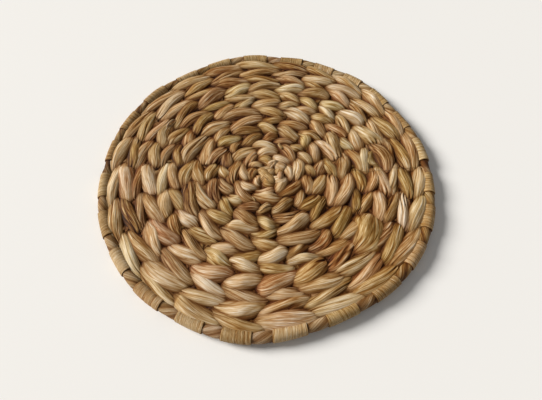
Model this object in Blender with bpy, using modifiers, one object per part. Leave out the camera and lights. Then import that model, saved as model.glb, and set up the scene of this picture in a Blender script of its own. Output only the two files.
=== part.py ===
"""Woven coaster: a round, flat mat of dried plant stalk, twined on radial spokes.

The weave is one flat solid with a shallow ridge for each twined round. A cord of stalk
runs round its edge, and short bands of split stalk are bound tightly round that cord,
one over the end of each spoke. The mat is hand made, so it is a little out of round.

Frame: metres, +Z up. The origin is the middle of the weave on its flat underside.
"""

import math

import bmesh
import bpy
from mathutils import Matrix

# Driving dimensions, in metres
MAT_RADIUS = 0.100
WEAVE_THICKNESS = 0.0085
RIM_DIAMETER = 0.0070
WRAP_THICKNESS = 0.0005
CLEARANCE = 0.0003

# The woven disc
RIDGE_DEPTH = 0.0013
CREST_SHARE = 0.34
HUB_FLAT_RADIUS = 0.0042
EDGE_CHAMFER = 0.0022
DISC_STEPS = 60

# The rim
RIM_SIDES = 8
CORD_STEPS = 96
WRAP_ARC_STEPS = 3

# Outer radius of each twined round, as a share of the mat radius, and how far the round's
# crest lies below the top of the weave, in metres. The first row is the hub's knot.
ROUNDS = (
    # outer_share, crest_drop
    (0.110, 0.0000),
    (0.165, 0.0004),
    (0.225, 0.0003),
    (0.295, 0.0004),
    (0.370, 0.0002),
    (0.437, 0.0003),
    (0.513, 0.0001),
    (0.585, 0.0004),
    (0.650, 0.0003),
    (0.735, 0.0000),
    (0.802, 0.0003),
    (0.875, 0.0001),
)
EDGE_CREST_DROP = 0.0004

# Direction of the middle of each stretch where the cord shows between two wraps, in
# degrees from +X towards +Y. The stalks of each round cross in the same directions, and
# the spokes lie midway between them, under the wraps.
BARE_ANGLES = (
    2.0, 18.0, 31.5, 46.0, 58.5, 72.0, 87.0, 102.5, 117.5, 132.0, 148.5, 163.5,
    178.0, 193.5, 209.0, 223.5, 240.0, 254.5, 269.0, 286.0, 303.0, 319.0, 334.5, 349.0,
)
# A wrap fills this part of the way from one bare stretch to the next
WRAP_START = 0.20
WRAP_END = 0.82

# Where the hand-made edge swells or dips: direction, reach to each side, and rise
OUTLINE_SWELLS = (
    # angle_deg, reach_deg, rise_m
    (9.0, 14.0, 0.0007),
    (30.0, 14.0, -0.0012),
    (47.0, 12.0, 0.0004),
    (64.0, 12.0, -0.0009),
    (84.0, 9.0, -0.0010),
    (100.0, 16.0, 0.0014),
    (124.0, 14.0, -0.0008),
    (139.0, 10.0, 0.0009),
    (178.0, 20.0, -0.0008),
    (229.0, 16.0, 0.0006),
    (262.0, 20.0, 0.0010),
    (293.0, 30.0, -0.0026),
    (338.0, 26.0, 0.0011),
)

# Colours are linear red, green and blue
STALK_TAN = (0.372, 0.248, 0.118)
CORD_BROWN = (0.268, 0.162, 0.074)
WRAP_STRAW = (0.415, 0.292, 0.138)
STALK_ROUGHNESS = 0.62

COLLECTION_NAME = "woven_coaster"
MERGE_DISTANCE = 0.00001


def clear_scene():
    """Remove every object, so the coaster stands alone."""
    for obj in list(bpy.data.objects):
        bpy.data.objects.remove(obj, do_unlink=True)


def make_collection(name):
    """A collection of this name, linked to the scene."""
    collection = bpy.data.collections.new(name)
    bpy.context.scene.collection.children.link(collection)
    return collection


def make_material(name, colour):
    """A Principled material for one dried, unvarnished piece."""
    material = bpy.data.materials.new(name)
    material.use_nodes = True
    shader = material.node_tree.nodes["Principled BSDF"]
    shader.inputs["Base Color"].default_value = (*colour, 1.0)
    shader.inputs["Roughness"].default_value = STALK_ROUGHNESS
    shader.inputs["Metallic"].default_value = 0.0
    return material


def outline_rise(angle):
    """How far the edge lies outside a true circle in this direction, in metres.

    Each swell is a raised cosine that fades out at its reach on either side.
    """
    rise = 0.0
    for centre_deg, reach_deg, rise_m in OUTLINE_SWELLS:
        off = math.degrees(angle) - centre_deg
        off = abs((off + 180.0) % 360.0 - 180.0)
        if off < reach_deg:
            rise += rise_m * 0.5 * (1.0 + math.cos(math.pi * off / reach_deg))
    return rise


def press_out_of_round(x, y):
    """Move a point of the true round to its place in the uneven, hand-made one.

    The shift grows with the square of the radius, so the hub stays where it is.
    """
    radius = math.hypot(x, y)
    share = (radius / MAT_RADIUS) ** 2
    grown = 1.0 + share * outline_rise(math.atan2(y, x)) / MAT_RADIUS
    return x * grown, y * grown


def finish_piece(obj, material, turn=Matrix.Identity(4)):
    """Apply the modifiers, turn the piece to its place, press it out of round, shade it."""
    bpy.context.view_layer.update()
    evaluated = obj.evaluated_get(bpy.context.evaluated_depsgraph_get())
    mesh = bpy.data.meshes.new_from_object(evaluated)
    mesh.transform(turn)
    work = bmesh.new()
    work.from_mesh(mesh)
    bmesh.ops.remove_doubles(work, verts=work.verts, dist=MERGE_DISTANCE)
    bmesh.ops.triangulate(work, faces=[face for face in work.faces if len(face.verts) > 4])
    for vert in work.verts:
        vert.co.x, vert.co.y = press_out_of_round(vert.co.x, vert.co.y)
    work.to_mesh(mesh)
    work.free()
    obj.modifiers.clear()
    obj.data = mesh
    mesh.name = obj.name
    mesh.materials.clear()
    mesh.materials.append(material)
    mesh.shade_smooth()
    mesh.set_sharp_from_angle(angle=math.radians(40.0))


def profile_object(name, points, closed, collection):
    """An object that holds one line of edges in the XZ plane.

    points are (radius, height) pairs, and closed joins the last to the first.
    """
    edges = [(i, i + 1) for i in range(len(points) - 1)]
    if closed:
        edges.append((len(points) - 1, 0))
    mesh = bpy.data.meshes.new(name)
    mesh.from_pydata([(radius, 0.0, height) for radius, height in points], edges, [])
    obj = bpy.data.objects.new(name, mesh)
    collection.objects.link(obj)
    return obj


def add_turn(obj, angle, steps):
    """Turn the object's line round the mat's own axis with a Screw modifier."""
    screw = obj.modifiers.new("turn", "SCREW")
    screw.axis = "Z"
    screw.angle = angle
    screw.steps = steps
    screw.render_steps = steps
    screw.use_merge_vertices = True
    screw.merge_threshold = MERGE_DISTANCE
    screw.use_smooth_shade = True


def disc_profile():
    """The woven disc's outline in section, from the top of the hub round to the underside.

    Each round is a low ridge with a flat crest between two valleys.
    """
    edge_radius = MAT_RADIUS - RIM_DIAMETER - CLEARANCE
    valley = WEAVE_THICKNESS - RIDGE_DEPTH
    points = [(0.0, WEAVE_THICKNESS), (HUB_FLAT_RADIUS, WEAVE_THICKNESS)]
    inner_radius = ROUNDS[0][0] * MAT_RADIUS
    points.append((inner_radius, valley))
    outer_shares = [share for share, _ in ROUNDS[1:]]
    drops = [drop for _, drop in ROUNDS[1:]]
    for share, drop in zip(outer_shares, drops):
        outer_radius = share * MAT_RADIUS
        middle = 0.5 * (inner_radius + outer_radius)
        half_crest = 0.5 * CREST_SHARE * (outer_radius - inner_radius)
        crest = WEAVE_THICKNESS - drop
        points.append((middle - half_crest, crest))
        points.append((middle + half_crest, crest))
        points.append((outer_radius, valley))
        inner_radius = outer_radius
    middle = 0.5 * (inner_radius + edge_radius)
    half_crest = 0.5 * CREST_SHARE * (edge_radius - inner_radius)
    crest = WEAVE_THICKNESS - EDGE_CREST_DROP
    points.append((middle - half_crest, crest))
    points.append((middle + half_crest, crest))
    points.append((edge_radius, WEAVE_THICKNESS - EDGE_CHAMFER))
    points.append((edge_radius, EDGE_CHAMFER))
    points.append((edge_radius - EDGE_CHAMFER, 0.0))
    points.append((0.0, 0.0))
    return points


def build_woven_disc(collection, material):
    """The weave: one flat, ridged disc, flat underneath."""
    disc = profile_object("woven_disc", disc_profile(), False, collection)
    add_turn(disc, math.tau, DISC_STEPS)
    finish_piece(disc, material)


def rim_centre():
    """Radius and height of the middle of the rim cord."""
    return MAT_RADIUS - 0.5 * RIM_DIAMETER, 0.5 * WEAVE_THICKNESS


def build_rim_cord(collection, material):
    """The ring of stalk along the edge, inside the wraps.

    Its flat sides lie parallel to the wraps' flat sides, a clearance inside them.
    """
    radius, height = rim_centre()
    inset = (WRAP_THICKNESS + CLEARANCE) / math.cos(math.pi / RIM_SIDES)
    bpy.ops.mesh.primitive_torus_add(
        major_segments=CORD_STEPS,
        minor_segments=RIM_SIDES,
        major_radius=radius,
        minor_radius=0.5 * RIM_DIAMETER - inset,
    )
    cord = bpy.context.active_object
    cord.name = "rim_cord"
    for other in list(cord.users_collection):
        other.objects.unlink(cord)
    collection.objects.link(cord)
    for vert in cord.data.vertices:
        vert.co.z += height
    finish_piece(cord, material)


def wrap_section():
    """The outer line of a wrap, across the rim, clockwise seen from the side."""
    radius, height = rim_centre()
    outer = 0.5 * RIM_DIAMETER
    points = []
    for side in range(RIM_SIDES):
        angle = math.tau * (0.25 - side / RIM_SIDES)
        points.append((radius + outer * math.cos(angle), height + outer * math.sin(angle)))
    return points


def build_rim_wrap(name, start, end, collection, material):
    """One band bound round the cord, from start to end in radians round the mat."""
    wrap = profile_object(name, wrap_section(), True, collection)
    add_turn(wrap, end - start, WRAP_ARC_STEPS)
    wall = wrap.modifiers.new("wall", "SOLIDIFY")
    wall.thickness = WRAP_THICKNESS
    wall.offset = -1.0
    wall.use_even_offset = True
    finish_piece(wrap, material, Matrix.Rotation(start, 4, "Z"))


def build_rim_wraps(collection, material):
    """A wrap between each bare stretch of the cord and the next, over a spoke's end."""
    for index, angle in enumerate(BARE_ANGLES):
        following = BARE_ANGLES[(index + 1) % len(BARE_ANGLES)]
        pitch = (following - angle) % 360.0
        start = math.radians(angle + WRAP_START * pitch)
        end = math.radians(angle + WRAP_END * pitch)
        build_rim_wrap(f"rim_wrap_{index + 1:02d}", start, end, collection, material)


def main():
    """Build the coaster's pieces into their own collection."""
    clear_scene()
    collection = make_collection(COLLECTION_NAME)
    build_woven_disc(collection, make_material("stalk_tan", STALK_TAN))
    build_rim_cord(collection, make_material("cord_brown", CORD_BROWN))
    build_rim_wraps(collection, make_material("wrap_straw", WRAP_STRAW))


main()
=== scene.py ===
"""Looks of the woven coaster: twined plant stalks, a bound rim, their finishes and the light.

The mat is made as its maker works it. Flattened stalks run outwards as spokes. Round them
go thirteen rounds of twining, each of two flattened stalks that cross between every two
spokes, one passing over the spoke while the other passes under it. A bundle of stalks
closes the edge, and short bindings of split stalk hold it to the spoke ends.

Frame: metres, +Z up, the mat's middle on the Z axis.
"""

import logging
import math
from dataclasses import dataclass, field, replace
from enum import Enum

import bpy
import numpy as np
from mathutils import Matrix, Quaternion, Vector

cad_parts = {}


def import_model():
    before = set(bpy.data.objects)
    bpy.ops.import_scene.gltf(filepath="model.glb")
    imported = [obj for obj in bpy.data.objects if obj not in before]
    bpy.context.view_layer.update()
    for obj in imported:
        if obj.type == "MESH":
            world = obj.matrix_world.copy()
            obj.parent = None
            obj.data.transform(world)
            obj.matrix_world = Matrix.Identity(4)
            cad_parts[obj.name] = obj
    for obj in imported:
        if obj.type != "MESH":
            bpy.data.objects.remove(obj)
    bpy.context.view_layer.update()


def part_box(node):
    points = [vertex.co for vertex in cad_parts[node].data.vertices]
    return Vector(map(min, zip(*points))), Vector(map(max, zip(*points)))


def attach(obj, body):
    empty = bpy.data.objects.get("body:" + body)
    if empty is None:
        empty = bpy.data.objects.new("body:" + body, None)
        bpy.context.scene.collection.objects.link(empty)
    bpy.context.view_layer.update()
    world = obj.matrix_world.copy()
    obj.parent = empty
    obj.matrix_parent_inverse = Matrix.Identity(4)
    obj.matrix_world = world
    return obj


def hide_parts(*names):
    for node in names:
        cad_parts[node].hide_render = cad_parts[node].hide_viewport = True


LOG = logging.getLogger("woven_coaster")
BODY = "root"
FULL_TURN = 2.0 * math.pi
MM = 0.001
FIBRE_RADIUS = 3.0 * MM
WRAPS = 24

# Directions in which the two stalks of a round cross, in degrees from +X towards +Y, in
# the hub, at the waist half way out, and at the edge. Stalks near the hub share some.
CROSSINGS = (
    (-4.0, 1.0, 2.0),
    (14.0, 17.0, 18.0),
    (37.0, 30.0, 31.5),
    (37.0, 43.0, 46.0),
    (54.0, 55.0, 58.5),
    (77.0, 68.0, 72.0),
    (77.0, 81.0, 87.0),
    (96.0, 98.0, 102.5),
    (125.0, 113.0, 117.5),
    (125.0, 128.0, 132.0),
    (145.0, 147.0, 148.5),
    (171.0, 161.0, 163.5),
    (171.0, 175.0, 178.0),
    (190.0, 193.0, 193.5),
    (218.0, 209.0, 209.0),
    (218.0, 222.0, 223.5),
    (239.0, 239.0, 240.0),
    (262.0, 252.0, 254.5),
    (262.0, 267.0, 269.0),
    (279.0, 282.0, 286.0),
    (308.0, 297.0, 303.0),
    (308.0, 313.0, 319.0),
    (331.0, 333.0, 334.5),
    (356.0, 347.0, 349.0),
)
CORE_SHARE = 0.225
HUB_SHARE = 0.513
WAIST_SHARE = 0.55
EDGE_SHARE = 0.87


class Slot(Enum):
    """The mat's material slots."""

    STALK = "stalk"
    RIM = "rim_stalk"
    WRAP = "wrap_strip"


class Slant(Enum):
    """Which way the stalks of a round lean, as the sign of their first swing."""

    LEANS_IN = 1.0
    LEANS_OUT = -1.0


class Tone(Enum):
    """Colours of the dried stalk, linear red, green and blue."""

    STRAW = (0.610, 0.442, 0.268)
    TAN = (0.528, 0.362, 0.188)
    HONEY = (0.503, 0.336, 0.153)
    BROWN = (0.460, 0.305, 0.155)
    OLIVE = (0.505, 0.357, 0.172)
    BLUSH = (0.575, 0.390, 0.235)


# How often each tone turns up: its share everywhere, then the direction in degrees where
# it is favoured, the reach of that in degrees, and its extra share there. Paler tones
# favoured on some sides and darker ones on others are partly the stalks' own tone by side,
# partly painted light and shade by side.
TONE_AND_SIDE_SHADE_HABITS = (
    (Tone.STRAW, 0.16, 215.0, 75.0, 0.35),
    (Tone.STRAW, 0.00, 45.0, 55.0, 0.45),
    (Tone.TAN, 0.30, 0.0, 180.0, 0.0),
    (Tone.HONEY, 0.12, 325.0, 60.0, 0.55),
    (Tone.BROWN, 0.12, 135.0, 60.0, 0.35),
    (Tone.OLIVE, 0.14, 60.0, 60.0, 0.20),
    (Tone.BLUSH, 0.06, 240.0, 45.0, 0.30),
)

# How much darker than its tone the stalk is, as a power, at the middle and, further out,
# every 45 degrees from +X: painted light and shade by side of the mat, partly the stalks'
# own tone by side. The first fades into the others up to the fading share. The wraps take
# theirs as at their own share.
MIDDLE_POWER = 0.94
FADING_SHARE = 0.45
WRAP_SHADE_SHARE = 0.2
SIDE_SHADE_AND_TONE_POWERS = (1.04, 0.72, 0.94, 1.12, 0.99, 0.95, 0.94, 1.30)


def loop_ease(controls: np.ndarray, places: np.ndarray) -> np.ndarray:
    """Read a closed loop of control values, easing from each to the next.

    Between control i and control i+1 the weight is (1 - cos(pi * share)) / 2.

    Args:
        controls: One value or row of values for each whole place.
        places: Places along the loop, in controls.

    Returns:
        The eased values, one for each place.
    """
    low = np.floor(places).astype(int)
    weight = (1.0 - np.cos(math.pi * (places - low))) / 2.0
    weight = weight.reshape(weight.shape + (1,) * (controls.ndim - 1))
    count = controls.shape[0]
    return controls[low % count] * (1.0 - weight) + controls[(low + 1) % count] * weight


def within_half_turn(angle: np.ndarray) -> np.ndarray:
    """Bring angles in radians to within half a turn of zero."""
    return (angle + math.pi) % FULL_TURN - math.pi


def even_turn(count: int) -> np.ndarray:
    """List the equal steps of one full turn, from zero, in radians."""
    return np.arange(count) / count * FULL_TURN


def signed_power(values: np.ndarray, power: float) -> np.ndarray:
    """Raise the sizes of values to a power and keep their signs."""
    return np.sign(values) * np.abs(values) ** power


def placed(
    along: np.ndarray, angle: np.ndarray, height: np.ndarray, across: np.ndarray | float = 0.0
) -> np.ndarray:
    """Place points by how far out they lie in a direction from the mat's axis.

    x is along * cos(angle) - across * sin(angle), and y is along * sin(angle) + across *
    cos(angle). The arrays stretch to one grid.

    Args:
        along: Distance from the axis in that direction.
        angle: The direction, in radians.
        height: Height over the table.
        across: Distance to the left of that direction.

    Returns:
        The points, with x, y and z on the last axis.
    """
    x = along * np.cos(angle) - across * np.sin(angle)
    y = along * np.sin(angle) + across * np.cos(angle)
    return np.stack(np.broadcast_arrays(x, y, height), axis=-1)


def fibre_place(turn: np.ndarray, along: np.ndarray) -> np.ndarray:
    """Place points on a straight, round stalk, for the grain to follow.

    Args:
        turn: Angle of each point round the stalk, in radians.
        along: Distance of each point along it. Both stretch to one grid.

    Returns:
        A place for each point, with the distance along the stalk last.
    """
    side, up = FIBRE_RADIUS * np.cos(turn), FIBRE_RADIUS * np.sin(turn)
    return np.stack(np.broadcast_arrays(side, up, along), axis=-1)


def mesh_points(name: str) -> np.ndarray:
    """Read the points of an object's mesh.

    Args:
        name: The object's name.

    Returns:
        The points in metres, one row each.
    """
    mesh = bpy.data.objects[name].data
    flat = np.empty(len(mesh.vertices) * 3)
    mesh.vertices.foreach_get("co", flat)
    return flat.reshape(-1, 3)


def crossing_angles(share: float) -> np.ndarray:
    """List the directions in which the stalks of a round cross.

    There are 8 in the core, 16 in the hub and 24 further out, because spokes are added
    outwards. Beyond the waist the directions run straight from the waist's to the edge's.

    Args:
        share: The round's radius, as a share of the mat's.

    Returns:
        Rising angles in radians.
    """
    table = np.radians(CROSSINGS)
    if share > HUB_SHARE:
        way = np.clip((share - WAIST_SHARE) / (EDGE_SHARE - WAIST_SHARE), 0.0, 1.0)
        return table[:, 1] * (1.0 - way) + table[:, 2] * way
    hub = np.unique(np.round(table[:, 0] % FULL_TURN, 6))
    if share > CORE_SHARE:
        return hub
    return hub.reshape(-1, 2).mean(axis=1)


def side_shade_and_tone_power(angle_deg: np.ndarray, share: float) -> np.ndarray:
    """Read how much darker than its tone the stalk is in each direction, as a power.

    This is painted light and shade by side of the mat, partly the stalks' own tone by side.

    Args:
        angle_deg: Directions from the middle, in degrees.
        share: Distance from the middle, as a share of the mat's radius.

    Returns:
        The power in each direction.
    """
    table = loop_ease(np.array(SIDE_SHADE_AND_TONE_POWERS), angle_deg % 360.0 / 360.0 * len(SIDE_SHADE_AND_TONE_POWERS))
    return MIDDLE_POWER + (table - MIDDLE_POWER) * min(share / FADING_SHARE, 1.0)


def pick_tone(angle_deg: float, luck: np.random.Generator) -> np.ndarray:
    """Draw one of the tones that are usual in a direction.

    Which tones are usual where is partly the stalks' own tone by side, partly painted light
    and shade by side.

    Args:
        angle_deg: Direction from the middle, in degrees.
        luck: The seeded source of chance.

    Returns:
        Linear red, green and blue.
    """
    shares = []
    for _, base, favoured, reach, extra in TONE_AND_SIDE_SHADE_HABITS:
        off = abs((angle_deg - favoured + 180.0) % 360.0 - 180.0)
        near = 0.5 * (1.0 + math.cos(math.pi * min(off / reach, 1.0)))
        shares.append(base + extra * near)
    weights = np.array(shares) / sum(shares)
    return np.array(TONE_AND_SIDE_SHADE_HABITS[luck.choice(len(TONE_AND_SIDE_SHADE_HABITS), p=weights)][0].value)


def tone_at(angle_deg: float, luck: np.random.Generator, share: float = 1.0) -> np.ndarray:
    """Draw a short piece's colour: a tone raised to its direction's power.

    That power paints light and shade by side of the mat, partly its own tone by side.

    Args:
        angle_deg: Direction from the middle, in degrees.
        luck: The seeded source of chance.
        share: Distance from the middle, as a share of the mat's radius.

    Returns:
        Linear red, green and blue.
    """
    return pick_tone(angle_deg, luck) ** side_shade_and_tone_power(np.array([angle_deg]), share)


@dataclass(frozen=True)
class Mat:
    """The whole mat's sizes, in metres, and its outline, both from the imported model.

    growth is how much further out than usual the rim's centre line lies in each of the
    angles, in radians, as a share of its mean radius.
    """

    radius: float
    middle_height: float
    rim_radius: float
    rim_thickness: float
    angles: np.ndarray
    growth: np.ndarray

    BINS = 96

    @classmethod
    def read(cls) -> "Mat":
        """Read the sizes and the outline from the weave, the rim cord and a wrap.

        In each of 96 equal directions the rim's centre line is half way between the
        cord's nearest and furthest point. The mat's radius is the mean radius of that
        line and half the rim's thickness.

        Returns:
            The mat.
        """
        low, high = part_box("woven_disc")
        wrap_low, wrap_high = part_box("rim_wrap_01")
        points = mesh_points("rim_cord")
        radius = np.hypot(points[:, 0], points[:, 1])
        turn = np.arctan2(points[:, 1], points[:, 0]) % FULL_TURN
        nearest = np.round(turn / FULL_TURN * cls.BINS).astype(int) % cls.BINS
        inner = np.full(cls.BINS, np.inf)
        outer = np.full(cls.BINS, -np.inf)
        np.minimum.at(inner, nearest, radius)
        np.maximum.at(outer, nearest, radius)
        centre_line = (inner + outer) / 2.0
        rim_radius = float(centre_line.mean())
        rim_thickness = wrap_high[2] - wrap_low[2]
        return cls(
            radius=rim_radius + rim_thickness / 2.0,
            middle_height=(low[2] + high[2]) / 2.0,
            rim_radius=rim_radius,
            rim_thickness=rim_thickness,
            angles=even_turn(cls.BINS),
            growth=centre_line / rim_radius - 1.0,
        )

    def press(self, points: np.ndarray) -> np.ndarray:
        """Press points of a true round into the mat's outline.

        A point at angle a and radius r moves out to r * (1 + (r / rim)^2 * growth(a)).

        Args:
            points: An array whose last axis is x, y, z.

        Returns:
            The moved points.
        """
        radius = np.hypot(points[..., 0], points[..., 1])
        turn = np.arctan2(points[..., 1], points[..., 0]) % FULL_TURN
        growth = np.interp(turn, self.angles, self.growth, period=FULL_TURN)
        scale = 1.0 + (radius / self.rim_radius) ** 2 * growth
        moved = points.copy()
        moved[..., :2] *= scale[..., None]
        return moved


@dataclass
class Tube:
    """A tube's skin as a grid: rings along its length, each with the same points around.

    fibre is a position along and around the stalk that its grain follows, tone its
    colour, the fold mask how deep in a crease a point lies and the tuck mask how far under
    its neighbours. Both masks darken the colour with painted shade and dirt there.
    cell_rings is how many rings of a closed loop share a cell of the UV map, and 0 marks
    an open tube.
    """

    points: np.ndarray
    fibre: np.ndarray
    tone: np.ndarray
    fold_shade_and_dirt: np.ndarray | float
    tuck_shade_and_dirt: np.ndarray | float
    cell_rings: int = 0

    def __post_init__(self) -> None:
        """Stretch the tone, the fold and the tuck over the whole grid."""
        grid = self.points.shape[:2]
        self.tone = np.broadcast_to(self.tone, (*grid, 3))
        self.fold_shade_and_dirt = np.broadcast_to(self.fold_shade_and_dirt, grid)
        self.tuck_shade_and_dirt = np.broadcast_to(self.tuck_shade_and_dirt, grid)

    @property
    def is_loop(self) -> bool:
        """Tell whether the tube closes on itself."""
        return self.cell_rings > 0

    def enclosed(self) -> float:
        """Measure the volume inside the wall, to tell which way its faces point.

        It is the sum over the wall's quads of a * (b x c + c x d) / 6, with points taken
        from the tube's middle. An open tube's ends are left out, because only the sign is
        of use.

        Returns:
            The volume, positive if the faces point outwards.
        """
        own = self.points - self.points.mean(axis=(0, 1))
        rows = np.concatenate([own, own[:1]]) if self.is_loop else own
        a = rows[:-1]
        b = rows[1:]
        c = np.roll(b, -1, axis=1)
        d = np.roll(a, -1, axis=1)
        pieces = np.einsum("ijk,ijk->ij", a, np.cross(b, c))
        pieces += np.einsum("ijk,ijk->ij", a, np.cross(c, d))
        return float(pieces.sum() / 6.0)


class MeshDraft:
    """Collects tubes as whole arrays and turns them into one mesh object.

    Each tube, or each stretch of a long one, is unrolled into a square cell of its own in
    the UV map, so no two faces share a place there.
    """

    CELL_MARGIN = 0.03
    UV_NAME = "OFBake"
    VALUES = ("points", "fibre", "tone", "fold_shade_and_dirt", "tuck_shade_and_dirt")

    def __init__(self) -> None:
        """Start with no tubes."""
        self.tubes: list[Tube] = []

    def add(self, tube: Tube) -> None:
        """Add a tube, turned so that its faces point outwards.

        Args:
            tube: The tube.
        """
        if tube.enclosed() < 0.0:
            tube = replace(tube, **{key: getattr(tube, key)[:, ::-1] for key in self.VALUES})
        self.tubes.append(tube)

    @staticmethod
    def cells_of(tube: Tube) -> int:
        """Return how many cells of the UV map a tube takes."""
        return tube.points.shape[0] // tube.cell_rings if tube.is_loop else 1

    def wall(self, tube: Tube, base: int, cell: int, grid: int) -> tuple[np.ndarray, np.ndarray]:
        """Make the quads of a tube's wall.

        A quad's corners are (i, j), (i+1, j), (i+1, j+1), (i, j+1), with j wrapping round.
        Its place in the cell is the share of the rings and of the points around.

        Args:
            tube: The tube.
            base: Number of the tube's first point in the mesh.
            cell: Number of the tube's first cell.
            grid: Cells along each side of the UV map.

        Returns:
            Corner numbers and corner UVs, a row of four for each quad.
        """
        rings, around = tube.points.shape[:2]
        spans = rings if tube.is_loop else rings - 1
        i, j = np.meshgrid(np.arange(spans), np.arange(around), indexing="ij")
        i, j = i.ravel()[:, None], j.ravel()[:, None]
        step_i = np.array([[0, 1, 1, 0]])
        step_j = np.array([[0, 0, 1, 1]])
        corners = base + ((i + step_i) % rings) * around + (j + step_j) % around
        if tube.is_loop:
            cell = cell + i // tube.cell_rings
            along = (i % tube.cell_rings + step_i) / tube.cell_rings
        else:
            along = (i + 1 + step_i) / (rings + 1)
        return corners, self.place(cell, along, (j + step_j) / around, grid)

    def place(
        self, cell: np.ndarray | int, along: np.ndarray, across: np.ndarray, grid: int
    ) -> np.ndarray:
        """Turn places within cells into UVs, each cell keeping a margin.

        Args:
            cell: Number of each place's cell, or of the one that holds them all.
            along: Place along the cell, from 0 to 1.
            across: Place across it, from 0 to 1.
            grid: Cells along each side of the UV map.

        Returns:
            The UVs, with u and v on the last axis.
        """
        inner = 1.0 - 2.0 * self.CELL_MARGIN
        u = (cell % grid + self.CELL_MARGIN + inner * along) / grid
        v = (cell // grid + self.CELL_MARGIN + inner * across) / grid
        return np.stack(np.broadcast_arrays(u, v), axis=-1)

    def caps(
        self, tube: Tube, base: int, pole: int, cell: int, grid: int
    ) -> tuple[np.ndarray, np.ndarray]:
        """Close both ends of an open tube with a fan of triangles to a pole each.

        Args:
            tube: The tube.
            base: Number of the tube's first point in the mesh.
            pole: Number of the first end's pole. The last end's follows it.
            cell: Number of the tube's cell.
            grid: Cells along each side of the UV map.

        Returns:
            Corner numbers and corner UVs, a row of three for each triangle.
        """
        rings, around = tube.points.shape[:2]
        j = np.arange(around)
        after = (j + 1) % around
        last = base + (rings - 1) * around
        first_fan = np.stack([np.full(around, pole), base + j, base + after], axis=1)
        last_fan = np.stack([np.full(around, pole + 1), last + after, last + j], axis=1)
        corners = np.concatenate([first_fan, last_fan])
        edge = 1.0 / (rings + 1)
        zero = np.zeros(around)
        first_along = np.stack([zero, zero + edge, zero + edge], axis=1)
        along = np.concatenate([first_along, 1.0 - first_along])
        first_across = np.stack([j + 0.5, j, j + 1], axis=1)
        last_across = np.stack([j + 0.5, j + 1, j], axis=1)
        across = np.concatenate([first_across, last_across]) / around
        return corners, self.place(cell, along, across, grid)

    def build(self, name: str) -> bpy.types.Object:
        """Make the mesh object, with its UV map and the attributes its finish reads.

        Args:
            name: The object's name.

        Returns:
            The linked object, at the origin.
        """
        grid = math.ceil(math.sqrt(sum(self.cells_of(t) for t in self.tubes)))
        values = {key: [] for key in self.VALUES}
        faces, places, counts = [], [], []
        base, cell = 0, 0
        for tube in self.tubes:
            rings, around = tube.points.shape[:2]
            size = rings * around
            for key, rows in values.items():
                array = getattr(tube, key)
                rows.append(array.reshape(size, -1))
                if not tube.is_loop:
                    rows.append(array[[0, -1]].mean(axis=1).reshape(2, -1))
            blocks = [self.wall(tube, base, cell, grid)]
            if not tube.is_loop:
                blocks.append(self.caps(tube, base, base + size, cell, grid))
                size += 2
            for corners, uvs in blocks:
                faces.append(corners.ravel())
                places.append(uvs.reshape(-1, 2))
                counts.append(np.full(corners.shape[0], corners.shape[1]))
            base += size
            cell += self.cells_of(tube)
        arrays = {key: np.concatenate(rows) for key, rows in values.items()}
        return self.to_object(
            name, arrays, np.concatenate(faces), np.concatenate(places), np.concatenate(counts)
        )

    def to_object(
        self,
        name: str,
        arrays: dict[str, np.ndarray],
        corners: np.ndarray,
        places: np.ndarray,
        counts: np.ndarray,
    ) -> bpy.types.Object:
        """Put finished arrays into a mesh.

        Args:
            name: The object's name.
            arrays: Points, fibre, tone, and the fold and tuck masks of painted shade and dirt, a row
                for each point.
            corners: Point numbers of all faces, one after another.
            places: A UV for each corner.
            counts: Corners of each face.

        Returns:
            The linked object.
        """
        mesh = bpy.data.meshes.new(name)
        mesh.vertices.add(len(arrays["points"]))
        mesh.vertices.foreach_set("co", arrays["points"].astype(np.float32).ravel())
        mesh.loops.add(len(corners))
        mesh.loops.foreach_set("vertex_index", corners.astype(np.int32))
        mesh.polygons.add(len(counts))
        starts = np.concatenate([[0], np.cumsum(counts)[:-1]])
        mesh.polygons.foreach_set("loop_start", starts.astype(np.int32))
        mesh.polygons.foreach_set("use_smooth", np.ones(len(counts), dtype=bool))
        mesh.update(calc_edges=True)
        layer = mesh.uv_layers.new(name=self.UV_NAME)
        layer.data.foreach_set("uv", places.astype(np.float32).ravel())
        opaque = np.insert(arrays["tone"], 3, 1.0, axis=1)
        for key, kind, part, values in (
            ("fibre", "FLOAT_VECTOR", "vector", arrays["fibre"]),
            ("tone", "FLOAT_COLOR", "color", opaque),
            ("fold_shade_and_dirt", "FLOAT", "value", arrays["fold_shade_and_dirt"]),
            ("tuck_shade_and_dirt", "FLOAT", "value", arrays["tuck_shade_and_dirt"]),
        ):
            made = mesh.attributes.new(key, kind, "POINT")
            made.data.foreach_set(part, values.astype(np.float32).ravel())
        mesh.validate()
        made = bpy.data.objects.new(name, mesh)
        bpy.context.scene.collection.objects.link(made)
        return made


def make_piece(
    name: str, tubes: list[Tube], finish: bpy.types.Material, node: str
) -> bpy.types.Object:
    """Make a piece from its tubes, dress it and put it in the frame.

    Args:
        name: The piece's name.
        tubes: Its tubes.
        finish: Its material.
        node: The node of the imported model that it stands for.

    Returns:
        The piece's object.
    """
    draft = MeshDraft()
    for tube in tubes:
        draft.add(tube)
    made = draft.build(name)
    made.data.materials.append(finish)
    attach(made, BODY)
    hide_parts(node)
    return made


class Socket(Enum):
    """Kinds of socket on a node group."""

    NUMBER = "NodeSocketFloat"
    PLACE = "NodeSocketVector"
    COLOUR = "NodeSocketColor"


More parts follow.
